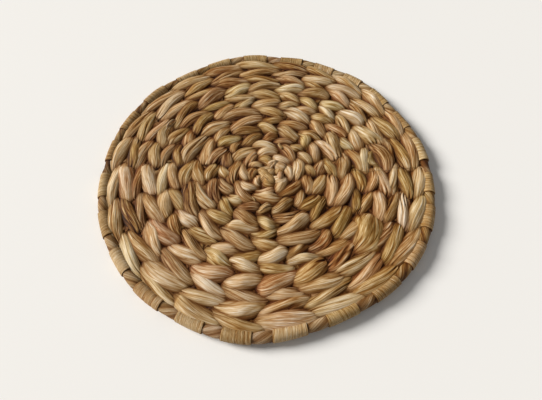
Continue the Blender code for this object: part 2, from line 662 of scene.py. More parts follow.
class NodeBoard:
    """A node tree while it is being wired."""

    def __init__(self, tree: bpy.types.NodeTree) -> None:
        """Take the tree to wire."""
        self.tree = tree

    @classmethod
    def for_group(
        cls, name: str, inputs: dict[str, float | Socket], outputs: dict[str, Socket]
    ) -> tuple["NodeBoard", bpy.types.NodeOutputs, bpy.types.Node]:
        """Start a node group.

        Args:
            name: The group's name.
            inputs: For each input, its usual number, or its kind where it isn't a number.
            outputs: The kind of each output.

        Returns:
            The group's board, the sockets that hold its inputs, and its output node.
        """
        group = bpy.data.node_groups.new(name, "ShaderNodeTree")
        for key, value in inputs.items():
            kind = value if isinstance(value, Socket) else Socket.NUMBER
            made = group.interface.new_socket(name=key, in_out="INPUT", socket_type=kind.value)
            if not isinstance(value, Socket):
                made.default_value = value
        for key, kind in outputs.items():
            group.interface.new_socket(name=key, in_out="OUTPUT", socket_type=kind.value)
        board = cls(group)
        return board, board.put("NodeGroupInput").outputs, board.put("NodeGroupOutput")

    def put(
        self, kind: str, inputs: dict[str | int, object] | None = None, **settings: object
    ) -> bpy.types.Node:
        """Add a node.

        Args:
            kind: The node's type name. A shader node's is without its ShaderNode start.
            inputs: Its inputs, as feed() takes them.
            **settings: The node's own properties.

        Returns:
            The node.
        """
        prefix = "" if kind.startswith("NodeGroup") else "ShaderNode"
        node = self.tree.nodes.new(prefix + kind)
        for key, value in settings.items():
            setattr(node, key, value)
        self.feed(node, inputs or {})
        return node

    def feed(self, node: bpy.types.Node, inputs: dict[str | int, object]) -> None:
        """Link or set a node's inputs.

        Args:
            node: The node.
            inputs: For each input's name or number, the socket or the constant it takes.
        """
        for key, value in inputs.items():
            if isinstance(value, bpy.types.NodeSocket):
                self.tree.links.new(value, node.inputs[key])
            else:
                node.inputs[key].default_value = value

    def math(self, operation: str, left: object, right: object) -> bpy.types.NodeSocket:
        """Return the output of a math node fed with two sockets or numbers."""
        return self.put("Math", {0: left, 1: right}, operation=operation).outputs[0]

    def remap(
        self,
        value: bpy.types.NodeSocket,
        source: tuple[float, float] = (0.0, 1.0),
        target: tuple[float, float] = (0.0, 1.0),
    ) -> bpy.types.NodeSocket:
        """Move a value from one range to another, no further than its ends.

        Args:
            value: The socket that holds it.
            source: The range it comes from.
            target: The range it goes to.

        Returns:
            The moved value's socket.
        """
        ends = {"From Min": source[0], "From Max": source[1], "To Min": target[0], "To Max": target[1]}
        return self.put("MapRange", {"Value": value, **ends}).outputs["Result"]


class FibreGrain:
    """Node group: long fibres and fine hairs that run along a stalk."""

    NAME = "Fibre grain"
    STREAK_SCALE = 1.0
    STREAK_DETAIL = 3.0
    FINE_SCALE = 3.1
    FINE_DETAIL = 2.0
    ROUGHNESS = 0.6
    LEVEL_RANGE = (0.3, 0.7)
    SEAM_SCALE = 0.55
    SEAM_DETAIL = 2.0
    CRACK_WIDTH = 0.055
    STREAK_HEIGHT = 0.45
    FINE_HEIGHT = 0.25
    CRACK_DEPTH = 0.30

    @classmethod
    def build(cls) -> bpy.types.NodeTree:
        """Make the group.

        The fibre position is stretched by Across round the stalk and by Along down its
        length, and read by two noises, one three times as fine as the other. A third,
        coarser one gives thin cracks wherever it passes through its middle value.

        Returns:
            The group, with outputs Streak, Fine, Crack and Relief, all from 0 to 1.
        """
        board, given, result = NodeBoard.for_group(
            cls.NAME,
            {"Fibre": Socket.PLACE, "Across": 3600.0, "Along": 70.0},
            dict.fromkeys(("Streak", "Fine", "Crack", "Relief"), Socket.NUMBER),
        )
        across = given["Across"]
        stretch = board.put("CombineXYZ", {"X": across, "Y": across, "Z": given["Along"]})
        drawn = board.put(
            "VectorMath", {0: given["Fibre"], 1: stretch.outputs[0]}, operation="MULTIPLY"
        ).outputs[0]
        streak = cls.level(board, drawn, cls.STREAK_SCALE, cls.STREAK_DETAIL)
        fine = cls.level(board, drawn, cls.FINE_SCALE, cls.FINE_DETAIL)
        seams = board.put(
            "TexNoise", {"Scale": cls.SEAM_SCALE, "Detail": cls.SEAM_DETAIL, "Vector": drawn}
        )
        off_middle = board.math("ABSOLUTE", board.math("SUBTRACT", seams.outputs["Fac"], 0.5), 0.0)
        crack = board.remap(off_middle, (0.0, cls.CRACK_WIDTH), (1.0, 0.0))
        high = board.math("MULTIPLY", streak, cls.STREAK_HEIGHT)
        high = board.math("ADD", high, board.math("MULTIPLY", fine, cls.FINE_HEIGHT))
        high = board.math("SUBTRACT", high, board.math("MULTIPLY", crack, cls.CRACK_DEPTH))
        relief = board.math("ADD", high, cls.CRACK_DEPTH)
        board.feed(result, {"Streak": streak, "Fine": fine, "Crack": crack, "Relief": relief})
        return board.tree

    @classmethod
    def level(
        cls, board: NodeBoard, place: bpy.types.NodeSocket, scale: float, detail: float
    ) -> bpy.types.NodeSocket:
        """Read a noise and spread its middle range out to 0 to 1.

        Args:
            board: The group's board.
            place: Where the noise is read.
            scale: Its scale.
            detail: Its detail.

        Returns:
            The level's socket.
        """
        noise = board.put(
            "TexNoise", {"Scale": scale, "Detail": detail, "Roughness": cls.ROUGHNESS, "Vector": place}
        )
        return board.remap(noise.outputs["Fac"], cls.LEVEL_RANGE)


class WeatheringAndShade:
    """Node group: the stalk's own colour, with painted shade and dirt darkening and browning it in
    folds and tucks.
    """

    NAME = "WeatheringAndShade"
    # Dark brown that tucked parts are multiplied by: painted shade in the recesses, with some dirt.
    DEEP_SHADE_AND_DIRT = (0.33, 0.185, 0.05, 1.0)
    PATCH_SCALE = 140.0
    PATCH_DETAIL = 3.0
    # Numbers of a mix node's sockets when it mixes colours.
    MIX_SHARE = 0
    MIX_FIRST = 6
    MIX_SECOND = 7
    MIX_RESULT = 2

    @classmethod
    def build(cls) -> bpy.types.NodeTree:
        """Make the group.

        The tone is raised to a power. Above 1 it gets darker and redder, and below 1 paler, as on
        its worn fibres. Soft patches laid over the whole mat shift the power too. Folds and tucks
        raise it as painted shade and dirt in creases and where a part lies under its neighbours,
        and tucked parts are also multiplied by a dark brown, more painted shade and dirt.

        Returns:
            The group, with outputs Colour and Dryness.
        """
        board, given, result = NodeBoard.for_group(
            cls.NAME,
            {
                "Tone": Socket.COLOUR,
                "Place": Socket.PLACE,
                "Streak": 0.5,
                "Fine": 0.5,
                "Crack": 0.0,
                "Fold shade and dirt": 0.0,
                "Tuck shade and dirt": 0.0,
                "Crack strength": 0.5,
                "Streak strength": 0.6,
                "Fine strength": 0.25,
                "Fold shade and dirt strength": 0.9,
                "Tuck shade and dirt strength": 0.5,
                "Patch strength": 0.5,
            },
            {"Colour": Socket.COLOUR, "Dryness": Socket.NUMBER},
        )
        patches = board.put(
            "TexNoise",
            {"Scale": cls.PATCH_SCALE, "Detail": cls.PATCH_DETAIL, "Vector": given["Place"]},
        )
        power = 1.0
        for key, value in (
            ("Streak", given["Streak"]),
            ("Fine", given["Fine"]),
            ("Patch", patches.outputs["Fac"]),
        ):
            shift = board.math("MULTIPLY", board.math("SUBTRACT", 0.5, value), given[f"{key} strength"])
            power = board.math("ADD", power, shift)
        # Cracks in the grain raise the power, and so do folds and tucks, as painted shade and dirt.
        for key in ("Crack", "Fold shade and dirt", "Tuck shade and dirt"):
            shift = board.math("MULTIPLY", given[key], given[f"{key} strength"])
            power = board.math("ADD", power, shift)
        curve = board.put("Gamma", {"Color": given["Tone"], "Gamma": power})
        # Tucked parts multiplied by the dark brown: more painted shade and dirt.
        shaded_and_dirtied = board.put(
            "Mix",
            {
                cls.MIX_SHARE: given["Tuck shade and dirt"],
                cls.MIX_FIRST: curve.outputs["Color"],
                cls.MIX_SECOND: cls.DEEP_SHADE_AND_DIRT,
            },
            data_type="RGBA",
            blend_type="MULTIPLY",
        )
        board.feed(result, {"Colour": shaded_and_dirtied.outputs[cls.MIX_RESULT], "Dryness": given["Streak"]})
        return board.tree


@dataclass(frozen=True)
class StalkFinish:
    """Finish of dried stalk: satin skin with fibres along it, dark in its folds with painted shade and
    dirt.
    """

    name: str
    across: float = 1900.0
    along: float = 48.0
    streak: float = 0.52
    fine: float = 1.1
    crack: float = 0.8
    # Strengths of the painted shade and dirt in folds and tucks.
    fold_shade_and_dirt: float = 1.8
    tuck_shade_and_dirt: float = 1.0
    patch: float = 0.5
    smoothest: float = 0.48
    roughest: float = 0.72
    relief: float = 0.36 * MM
    relief_strength: float = 1.0
    shine: float = 0.22
    shine_tint: tuple[float, float, float, float] = (1.0, 0.86, 0.66, 1.0)

    def build(self, grain: bpy.types.NodeTree, weathering: bpy.types.NodeTree) -> bpy.types.Material:
        """Make the material.

        Args:
            grain: The fibre grain group.
            weathering: The weathering group.

        Returns:
            The material.
        """
        material = bpy.data.materials.new(self.name)
        material.use_nodes = True
        material.node_tree.nodes.clear()
        board = NodeBoard(material.node_tree)
        keys = ("fibre", "tone", "fold_shade_and_dirt", "tuck_shade_and_dirt")
        read = {key: board.put("Attribute", attribute_name=key).outputs for key in keys}
        fibres = board.put(
            "Group",
            node_tree=grain,
            inputs={"Across": self.across, "Along": self.along, "Fibre": read["fibre"]["Vector"]},
        ).outputs
        worn = board.put(
            "Group",
            node_tree=weathering,
            inputs={
                "Tone": read["tone"]["Color"],
                "Place": board.put("TexCoord").outputs["Object"],
                "Streak": fibres["Streak"],
                "Fine": fibres["Fine"],
                "Crack": fibres["Crack"],
                "Fold shade and dirt": read["fold_shade_and_dirt"]["Fac"],
                "Tuck shade and dirt": read["tuck_shade_and_dirt"]["Fac"],
                "Streak strength": self.streak,
                "Fine strength": self.fine,
                "Crack strength": self.crack,
                "Fold shade and dirt strength": self.fold_shade_and_dirt,
                "Tuck shade and dirt strength": self.tuck_shade_and_dirt,
                "Patch strength": self.patch,
            },
        ).outputs
        bump = board.put(
            "Bump",
            {"Strength": self.relief_strength, "Distance": self.relief, "Height": fibres["Relief"]},
        )
        skin = board.put(
            "BsdfPrincipled",
            {
                "Base Color": worn["Colour"],
                "Roughness": board.remap(worn["Dryness"], target=(self.roughest, self.smoothest)),
                "Specular IOR Level": self.shine,
                "Specular Tint": self.shine_tint,
                "Normal": bump.outputs["Normal"],
            },
        )
        board.put("OutputMaterial", {"Surface": skin.outputs["BSDF"]})
        return material


@dataclass(frozen=True)
class Finishes:
    """The mat's finishes, built once."""

    stalk: bpy.types.Material
    rim: bpy.types.Material
    wrap: bpy.types.Material

    @classmethod
    def build(cls) -> "Finishes":
        """Make the node groups and the materials that share them.

        Returns:
            The finishes.
        """
        grain = FibreGrain.build()
        weathering = WeatheringAndShade.build()
        stalk = StalkFinish(name="Dried stalk")
        rim = StalkFinish(name="Rim stalk", streak=0.5, tuck_shade_and_dirt=0.3)
        wrap = StalkFinish(name="Wrap strip", across=3200.0, along=90.0, streak=0.5, fold_shade_and_dirt=0.9, tuck_shade_and_dirt=0.9)
        return cls(*[finish.build(grain, weathering) for finish in (stalk, rim, wrap)])


@dataclass
class Passes:
    """How each pass of one stalk over or under a spoke differs from the next."""

    width: np.ndarray
    thickness: np.ndarray
    lift: np.ndarray
    shift: np.ndarray
    roll: np.ndarray
    lean: np.ndarray
    ridge: np.ndarray
    crisp: np.ndarray
    knee: np.ndarray
    calm: np.ndarray
    tone: np.ndarray

    SHORTEST_RUN = 9
    LONGEST_RUN = 15
    HUB_CONTRAST = 0.35
    CONTRAST_GAIN = 1.2
    SHADE_SPREAD = 0.31
    MOST_DRIFT = 0.026
    DRIFT_SHARES = (0.0, 1.0, -0.6)
    WIDTH_MEAN = 1.02
    WIDTH_SPREAD = 0.13
    WIDTH_BOUNDS = (0.78, 1.35)
    THICKNESS_BOUNDS = (0.88, 1.06)
    DEEPEST_LIFT = -0.6 * MM
    LIFT_POWER = 1.5
    SHIFT_SPREAD_MM = 0.35
    ROLL_SPREAD_DEG = 8.0
    LEAN_SPREAD = 0.25
    RIDGE_BOUNDS = (-0.5, 0.5)
    CRISP_BOUNDS = (0.30, 1.0)
    KNEE_BOUNDS = (0.06, 0.5)

    @classmethod
    def draw(cls, angles: np.ndarray, share: float, luck: np.random.Generator) -> "Passes":
        """Draw the passes of one stalk.

        A new stalk is laid in after 9 to 15 passes, with a tone of its own. Each pass is a
        little lighter or darker than its stalk, and drifts towards olive or pink by its
        power on green and, the other way, on blue. Tones differ less near the middle.

        Args:
            angles: Direction of the middle of each pass, in radians.
            share: Radius of the round, as a share of the mat's.
            luck: The seeded source of chance.

        Returns:
            The passes.
        """
        count = len(angles)
        contrast = min(1.0, cls.HUB_CONTRAST + cls.CONTRAST_GAIN * share)
        tone = np.empty((count, 3))
        at = 0
        while at < count:
            reach = min(at + int(luck.integers(cls.SHORTEST_RUN, cls.LONGEST_RUN + 1)), count)
            middle = math.degrees(angles[(at + reach - 1) // 2])
            tone[at:reach] = pick_tone(middle, luck)
            at = reach
        shade = np.exp(luck.normal(0.0, cls.SHADE_SPREAD, (count, 1)))
        usual = (tone**shade) ** contrast * tone.mean(axis=0) ** (1.0 - contrast)
        drift = luck.spawn(1)[0].uniform(-cls.MOST_DRIFT, cls.MOST_DRIFT, (count, 1))
        # The direction's power: painted light and shade by side of the mat, partly the stalks' own tone
        # by side.
        power = side_shade_and_tone_power(np.degrees(angles), share)[:, None]
        return cls(
            width=np.clip(luck.normal(cls.WIDTH_MEAN, cls.WIDTH_SPREAD, count), *cls.WIDTH_BOUNDS),
            thickness=luck.uniform(*cls.THICKNESS_BOUNDS, count),
            lift=cls.DEEPEST_LIFT * luck.random(count) ** cls.LIFT_POWER,
            shift=luck.normal(0.0, cls.SHIFT_SPREAD_MM, count) * MM,
            roll=np.radians(luck.normal(0.0, cls.ROLL_SPREAD_DEG, count)),
            lean=luck.normal(0.0, cls.LEAN_SPREAD, count),
            ridge=luck.uniform(*cls.RIDGE_BOUNDS, count),
            crisp=luck.uniform(*cls.CRISP_BOUNDS, count),
            knee=luck.uniform(*cls.KNEE_BOUNDS, count),
            calm=np.ones(count),
            tone=usual ** (power * (1.0 + drift * np.array(cls.DRIFT_SHARES))),
        )


@dataclass
class Creases:
    """Lengthwise folds of one stalk: where each lies across it, how deep and how sharp.

    Every crease wanders along the stalk, through control values at the middle and the end
    of each pass.
    """

    place: np.ndarray
    depth: np.ndarray
    near_reach: np.ndarray
    far_reach: np.ndarray

    COUNT = 7
    KNOTS_PER_PASS = 2
    OUTERMOST = 0.82
    PLACE_SPREAD = 0.11
    FOLDED_MEAN = -0.1
    FOLDED_SPREAD = 0.55
    LEAST_DEPTH_MM = 0.03
    DEPTH_RANGE_MM = 0.85
    DEPTH_POWER = 3.5
    SHARP = 0.03
    SOFT = 0.15
    LINE_REACH = 0.045
    DARK_FROM = 0.5 * MM

    @classmethod
    def draw(cls, calm: np.ndarray, luck: np.random.Generator) -> "Creases":
        """Draw the creases of one stalk.

        Args:
            calm: Share of the usual depth that each pass's folds have.
            luck: The seeded source of chance.

        Returns:
            The creases.
        """
        knots = len(calm) * cls.KNOTS_PER_PASS
        even = np.linspace(-cls.OUTERMOST, cls.OUTERMOST, cls.COUNT)
        place = even + luck.normal(0.0, cls.PLACE_SPREAD, (knots, cls.COUNT))
        folded = calm * np.exp(luck.normal(cls.FOLDED_MEAN, cls.FOLDED_SPREAD, len(calm)))
        folded = np.repeat(folded, cls.KNOTS_PER_PASS)[:, None]
        chance = luck.random((knots, cls.COUNT)) ** cls.DEPTH_POWER
        depth = (cls.LEAST_DEPTH_MM + cls.DEPTH_RANGE_MM * chance) * folded
        sharp_side = luck.random(cls.COUNT) < 0.5
        near_reach = np.where(sharp_side, cls.SHARP, cls.SOFT)
        far_reach = np.where(sharp_side, cls.SOFT, cls.SHARP)
        return cls(place, depth * MM, near_reach, far_reach)

    def depth_at(self, u: np.ndarray, across: np.ndarray) -> tuple[np.ndarray, np.ndarray]:
        """Work out how deep the folds are, and where their dark lines lie.

        Each is a cusp: its depth times exp(-distance / reach), with a sharp reach on one
        side of it and a soft one on the other, as where one lap of a flattened stalk lies
        over the next.

        Args:
            u: Place of each ring, in passes.
            across: Place of each point across the stalk, from -1 to 1, a row for each ring.

        Returns:
            Depth in metres, and the darkness from 0 to 1 of the lines of painted shade and dirt along
            the deeper folds, a row for each ring.
        """
        places = loop_ease(self.place, u * self.KNOTS_PER_PASS)[:, None, :]
        depths = loop_ease(self.depth, u * self.KNOTS_PER_PASS)[:, None, :]
        off = across[:, :, None] - places
        reach = np.where(off < 0.0, self.near_reach, self.far_reach)
        depth = (depths * np.exp(-np.abs(off) / reach)).sum(axis=2)
        line = np.clip(depths / self.DARK_FROM, 0.0, 1.0) * np.exp(-np.abs(off) / self.LINE_REACH)
        return depth, np.clip(line.sum(axis=2), 0.0, 1.0)


@dataclass(frozen=True)
class RoundPlan:
    """One twined round: its bounds, as shares of the mat's radius, its slant and its crest.

    crest_drop is how far its top lies below the highest round's, in metres.
    """

    number: int
    inner: float
    outer: float
    slant: Slant
    crest_drop: float

    @property
    def share(self) -> float:
        """Radius of the round's middle, as a share of the mat's."""
        return (self.inner + self.outer) / 2.0


# For the open middle and then each round outwards, its outer bound as a share of the mat's
# radius, and how far its top lies below the highest round's, in metres.
ROUND_BOUNDS = (
    (0.055, 0.0000),
    (0.110, 0.0003),
    (0.165, 0.0004),
    (0.225, 0.0003),
    (0.295, 0.0004),
    (0.370, 0.0002),
    (0.437, 0.0003),
    (0.513, 0.0001),
    (0.585, 0.0004),
    (0.650, 0.0003),
    (0.735, 0.0000),
    (0.802, 0.0003),
    (0.875, 0.0001),
    (0.940, 0.0003),
)


def plan_rounds() -> list[RoundPlan]:
    """List the twined rounds from the edge inwards, their slants alternating.

    Returns:
        The thirteen rounds. The edge's is number 1 and leans out.
    """
    rounds = []
    for number, step in enumerate(range(len(ROUND_BOUNDS) - 1, 0, -1), start=1):
        slant = Slant.LEANS_OUT if number % 2 else Slant.LEANS_IN
        outer, drop = ROUND_BOUNDS[step]
        rounds.append(RoundPlan(number, ROUND_BOUNDS[step - 1][0], outer, slant, drop))
    return rounds


@dataclass(frozen=True)
class BoldPass:
    """A pass that stands out, found by its direction and its share of the radius.

    width is how many times as wide as the rest it is, and shade the power its tone takes.
    """

    angle_deg: float
    share: float
    width: float
    shift_mm: float
    lift_mm: float
    tone: Tone
    shade: float


BOLD_PASSES = (
    BoldPass(325.0, 0.710, 1.95, 2.2, 0.9, Tone.OLIVE, 1.25),
    BoldPass(250.0, 0.910, 1.25, 0.0, 0.2, Tone.TAN, 0.95),
    BoldPass(275.0, 0.910, 1.30, 0.0, 0.2, Tone.BLUSH, 0.95),
    BoldPass(222.0, 0.770, 1.30, 0.0, 0.2, Tone.STRAW, 0.95),
    BoldPass(172.0, 0.910, 1.20, 0.0, 0.1, Tone.TAN, 1.00),
    BoldPass(20.0, 0.840, 1.25, 0.0, 0.1, Tone.OLIVE, 0.95),
    BoldPass(292.0, 0.690, 1.40, 0.3, 0.3, Tone.HONEY, 1.10),
    BoldPass(291.0, 0.768, 1.35, 0.0, 0.1, Tone.TAN, 1.00),
    BoldPass(305.0, 0.900, 1.30, 0.0, 0.0, Tone.HONEY, 1.10),
    BoldPass(238.0, 0.840, 1.35, 0.0, 0.2, Tone.STRAW, 0.95),
    BoldPass(262.0, 0.840, 1.30, 0.0, 0.1, Tone.STRAW, 1.05),
    BoldPass(190.0, 0.840, 1.30, 0.0, 0.1, Tone.BLUSH, 1.05),
    BoldPass(205.0, 0.620, 1.30, 0.0, 0.1, Tone.TAN, 0.90),
)


@dataclass(frozen=True)
class Relief:
    """Smoothed heights of the weave's top and underside, on a square grid."""

    top: np.ndarray
    under: np.ndarray
    half_side: float
    middle: float

    MARGIN = 1.1
    STEP = 0.5 * MM
    SMOOTHING = 2.1 * MM
    DARK_FROM = 0.05 * MM
    DARK_SPAN = 0.95 * MM

    @classmethod
    def read(cls, clouds: list[np.ndarray], mat: Mat) -> "Relief":
        """Lay the grid over all the stalks' points.

        Each cell keeps the highest and the lowest point in it and in the eight round it.
        Both grids are then smoothed by a bell curve, in the frequency domain.

        Args:
            clouds: The points of every stalk.
            mat: The mat.

        Returns:
            The relief.
        """
        points = np.concatenate([cloud.reshape(-1, 3) for cloud in clouds])
        half_side = mat.radius * cls.MARGIN
        count = int(2.0 * half_side / cls.STEP)
        cells = ((points[:, :2] + half_side) / cls.STEP).astype(int)
        top = np.full((count, count), mat.middle_height)
        under = top.copy()
        np.maximum.at(top, (cells[:, 0], cells[:, 1]), points[:, 2])
        np.minimum.at(under, (cells[:, 0], cells[:, 1]), points[:, 2])
        shifts = [(i, j) for i in (-1, 0, 1) for j in (-1, 0, 1)]
        top = np.max([np.roll(top, shift, axis=(0, 1)) for shift in shifts], axis=0)
        under = np.min([np.roll(under, shift, axis=(0, 1)) for shift in shifts], axis=0)
        waves = np.fft.fftfreq(count, cls.STEP) ** 2
        bell = np.exp(-2.0 * (math.pi * cls.SMOOTHING) ** 2 * (waves[:, None] + waves[None, :]))
        smooth = [np.fft.ifft2(np.fft.fft2(grid) * bell).real for grid in (top, under)]
        return cls(*smooth, half_side, mat.middle_height)

    def sunk(self, points: np.ndarray) -> np.ndarray:
        """Work out how far points lie in from the smoothed surface nearer them.

        This is the mask of painted shade and dirt where parts lie sunk under their neighbours.

        Args:
            points: An array whose last axis is x, y, z.

        Returns:
            0 at the surface, and 1 where a point lies deep.
        """
        cells = ((points[..., :2] + self.half_side) / self.STEP).astype(int)
        z = points[..., 2]
        from_top = self.top[cells[..., 0], cells[..., 1]] - z
        from_under = z - self.under[cells[..., 0], cells[..., 1]]
        depth = np.where(z > self.middle, from_top, from_under)
        return np.clip((depth - self.DARK_FROM) / self.DARK_SPAN, 0.0, 1.0)


@dataclass(frozen=True)
class Course:
    """How a stalk passes over and under the spokes, a value for each of its rings.

    owner is the pass whose habits the ring follows, rise its height from -1 to 1, leaf its
    fullness from 0 to 1, and spin how far its crowded points have moved round to its
    outer side.
    """

    owner: np.ndarray
    rise: np.ndarray
    leaf: np.ndarray
    spin: np.ndarray


@dataclass
class TwinedRound:
    """Two flattened stalks twined round the mat, crossing between every two spokes."""

    plan: RoundPlan
    mat: Mat
    swing_share: float = 0.23
    top_half_width: float = 0.79
    pinch_half_width: float = 0.25
    width_power: float = 0.9
    top_half_thick: float = 1.95 * MM
    pinch_half_thick: float = 1.20 * MM
    thickness_power: float = 0.8
    flat_power: float = 0.95
    upright_power: float = 0.76
    droop: float = 0.32
    facet_rounding: float = 0.012
    facet_level: float = 0.11
    overhang: float = 0.17
    tip_rise: float = 0.05
    dive_power: float = 1.5
    turn_reach: float = 0.22
    wander: float = 0.18 * MM
    crossing_spread: float = 0.6 * MM
    most_crossing_spread: float = 1.8
    hub_fullness: float = 0.45
    pinch_creasing: float = 1.2
    leaf_uncreasing: float = 0.6
    deepest_crease: float = 1.1 * MM
    crease_sides: float = 2.0
    seen_from: float = -0.1
    seen_span: float = 0.35
    bold_calm: float = 0.35
    grain_gap: float = 0.37
    ring_step: float = 0.95 * MM
    fewest_rings: int = 10
    seeds_per_round: int = 10
    seen_points: int = 42
    hidden_points: int = 7
    seen_edge_deg: float = 13.0
    least_flat_width: float = 10.0 * MM
    least_height: float = 0.05 * MM
    stalk_lengths: list[float] = field(default_factory=list)
    stalk_widths: list[float] = field(default_factory=list)

    @property
    def pitch(self) -> float:
        """Width of the round's band, in metres."""
        return (self.plan.outer - self.plan.inner) * self.mat.radius

    def section_angles(self) -> np.ndarray:
        """List the angles of a section's points, close together on its outer side.

        Returns:
            Rising angles in radians, with a quarter turn pointing up.
        """
        start, end, close = np.radians(
            [-self.seen_edge_deg, 180.0 + self.seen_edge_deg, 360.0 - self.seen_edge_deg]
        )
        hidden = np.linspace(end, close, self.hidden_points + 2)[1:-1]
        return np.concatenate([np.linspace(start, end, self.seen_points), hidden])

    def weave(self, weaver: int, crossings: np.ndarray, seed: int) -> Tube:
        """Carry a stalk's section along its path round the mat.

        With u counting passes and p = pi * (u + weaver), the stalk's centre swings across
        the round by a * cos(p). Its height and width follow passing(). Its section stands
        in the plane through the mat's axis, and is worked out by section(). Whatever would
        reach below the table is pressed flat against it.

        Args:
            weaver: 0 or 1, which of the two stalks.
            crossings: Angles where the stalks cross, in radians.
            seed: Seed of this stalk's variation.

        Returns:
            The stalk as a closed loop.
        """
        luck = np.random.default_rng(seed)
        count = len(crossings)
        centre_radius = self.plan.share * self.mat.radius
        steps = self.steps_per_pass(count, centre_radius)
        u = np.arange(count * steps) / steps
        number = np.floor(u).astype(int)
        closed = np.append(crossings, crossings[0] + FULL_TURN)
        middles = (closed[:-1] + closed[1:]) / 2.0
        theta = np.interp(u, np.arange(count + 1), closed)
        passes = Passes.draw(middles, self.plan.share, luck)
        self.widen(passes, middles, weaver)
        share = (u - number) ** (2.0 ** passes.lean[number])
        course = self.passing(number, share, weaver, passes.knee)
        owner, rise, leaf = course.owner, course.rise, course.leaf

        swing = self.plan.slant.value * self.swing_share * self.pitch
        swing = swing * np.cos(math.pi * (number + share + weaver))
        wander = loop_ease(luck.normal(0.0, self.wander, count), u)
        offset = swing + passes.shift[owner] * leaf + wander
        top = self.mat.middle_height - self.top_half_thick - self.plan.crest_drop
        height = (top + passes.lift[owner] * leaf) * rise
        psi = self.section_angles()[None, :] + course.spin[:, None]
        across, upward, line = self.section(psi, u, course, passes, luck)
        z = np.maximum(self.mat.middle_height + height[:, None] + upward, self.least_height)
        points = placed((centre_radius + offset)[:, None] + across, theta[:, None], z)

        length = self.run_length(centre_radius + offset, theta, height)
        self.stalk_lengths.append(float(length[-1]))
        self.stalk_widths.append(self.flat_width(across, upward))
        return Tube(
            points=self.mat.press(points),
            fibre=fibre_place(psi, (length + seed * self.grain_gap)[:, None]),
            tone=loop_ease(passes.tone, u - 0.5)[:, None, :],
            # Crease lines darken the stalk with painted shade and dirt.
            fold_shade_and_dirt=line,
            tuck_shade_and_dirt=0.0,
            cell_rings=steps,
        )

    def section(
        self,
        psi: np.ndarray,
        u: np.ndarray,
        course: Course,
        passes: Passes,
        luck: np.random.Generator,
    ) -> tuple[np.ndarray, np.ndarray, np.ndarray]:
        """Work out a stalk's section at each of its rings.

        It is a full oval, w * cos(psi)^0.95 across and t * sin(psi)^0.76 upwards, with w
        and t growing from the pinch to the leaf. Its outer side is bowed down towards the
        edges, less its creases, and it leans a little to one side. Near the hub the
        stalks are fuller for their round.

        Args:
            psi: Angle of each point round the section, a row for each ring.
            u: Place of each ring, in passes.
            course: How the stalk passes over and under the spokes.
            passes: How its passes differ.
            luck: The seeded source of chance.

        Returns:
            How far across and how far up each point lies, and how dark its crease is painted, as shade
            and dirt.
        """
        owner, rise, leaf = course.owner, course.rise, course.leaf
        fuller = 1.0 + self.hub_fullness * max(0.0, 1.0 - self.plan.share / CORE_SHARE)
        widest = self.top_half_width * passes.width[owner]
        half_width = self.pinch_half_width + (widest - self.pinch_half_width) * leaf**self.width_power
        half_width = fuller * self.pitch * half_width
        thickest = self.top_half_thick * passes.thickness[owner]
        half_thick = (
            self.pinch_half_thick + (thickest - self.pinch_half_thick) * leaf**self.thickness_power
        )
        sin_psi = np.sin(psi)
        flat = signed_power(np.cos(psi), self.flat_power)
        across = half_width[:, None] * flat
        upward = half_thick[:, None] * signed_power(sin_psi, self.upright_power)
        bow = self.bow(flat, passes.ridge[owner][:, None], passes.crisp[owner][:, None])
        upward = upward - self.droop * (half_width * rise)[:, None] * bow
        crowded = np.sin(self.section_angles())[None, :]
        seen = np.clip((crowded - self.seen_from) / self.seen_span, 0.0, 1.0)
        depth, line = Creases.draw(passes.calm, luck).depth_at(u, flat)
        creasing = self.pinch_creasing - self.leaf_uncreasing * leaf[:, None]
        depth = np.minimum(depth * creasing, self.deepest_crease) * seen
        upward = upward - depth * np.clip(self.crease_sides * sin_psi, -1.0, 1.0)
        upward = upward + across * np.tan(passes.roll[owner] * leaf)[:, None]
        return across, upward, line * seen

    def passing(self, number: np.ndarray, share: np.ndarray, weaver: int, knees: np.ndarray) -> Course:
        """Work out how a stalk rises over the spokes and dives between them.

        d is the distance from the middle of the nearest pass on top, in passes. The stalk
        stays up until d reaches d0 = 0.5 + overhang, which is a little beyond each
        crossing. With y = d / d0 and knee k it falls as
        1 - (1 - tip) * (sqrt(y^2 + k^2) - k) / (sqrt(1 + k^2) - k), which is a tent with a
        rounded ridge. Below, with y counted back from the middle of the pass under a spoke,
        it is -1 + (1 + tip) * w^2 * (3 - 2 * w), where w is y^1.5. Both parts are widest
        at y = 0, as 1 - y^2 above and 1 - y^5 below, and narrowest where they meet.

        Args:
            number: Pass that each ring is in.
            share: Share of the pass behind each ring.
            weaver: 0 or 1. Stalk 0 lies on top in even passes and stalk 1 in odd ones.
            knees: How rounded the ridge of each pass is.

        Returns:
            The stalk's course.
        """
        on_top = (number + weaver) % 2 == 0
        from_end = np.minimum(share, 1.0 - share)
        d = np.where(on_top, 0.5 - from_end, 0.5 + from_end)
        limit = 0.5 + self.overhang
        up = d < limit
        y = np.where(up, d / limit, (1.0 - d) / (1.0 - limit))
        beside = np.where(share < 0.5, number - 1, number + 1) % len(knees)
        owner = np.where(on_top | ~up, number, beside)
        k = knees[owner]
        tent = (np.sqrt(y**2 + k**2) - k) / (np.sqrt(1.0 + k**2) - k)
        over = 1.0 - (1.0 - self.tip_rise) * tent
        late = y**self.dive_power
        under = -1.0 + (1.0 + self.tip_rise) * late**2 * (3.0 - 2.0 * late)
        turned = np.clip((d - limit) / self.turn_reach + 0.5, 0.0, 1.0)
        spin = math.pi * turned**2 * (3.0 - 2.0 * turned)
        leaf = 1.0 - np.where(up, y**2, y**5)
        return Course(owner, np.where(up, over, under), leaf, spin)

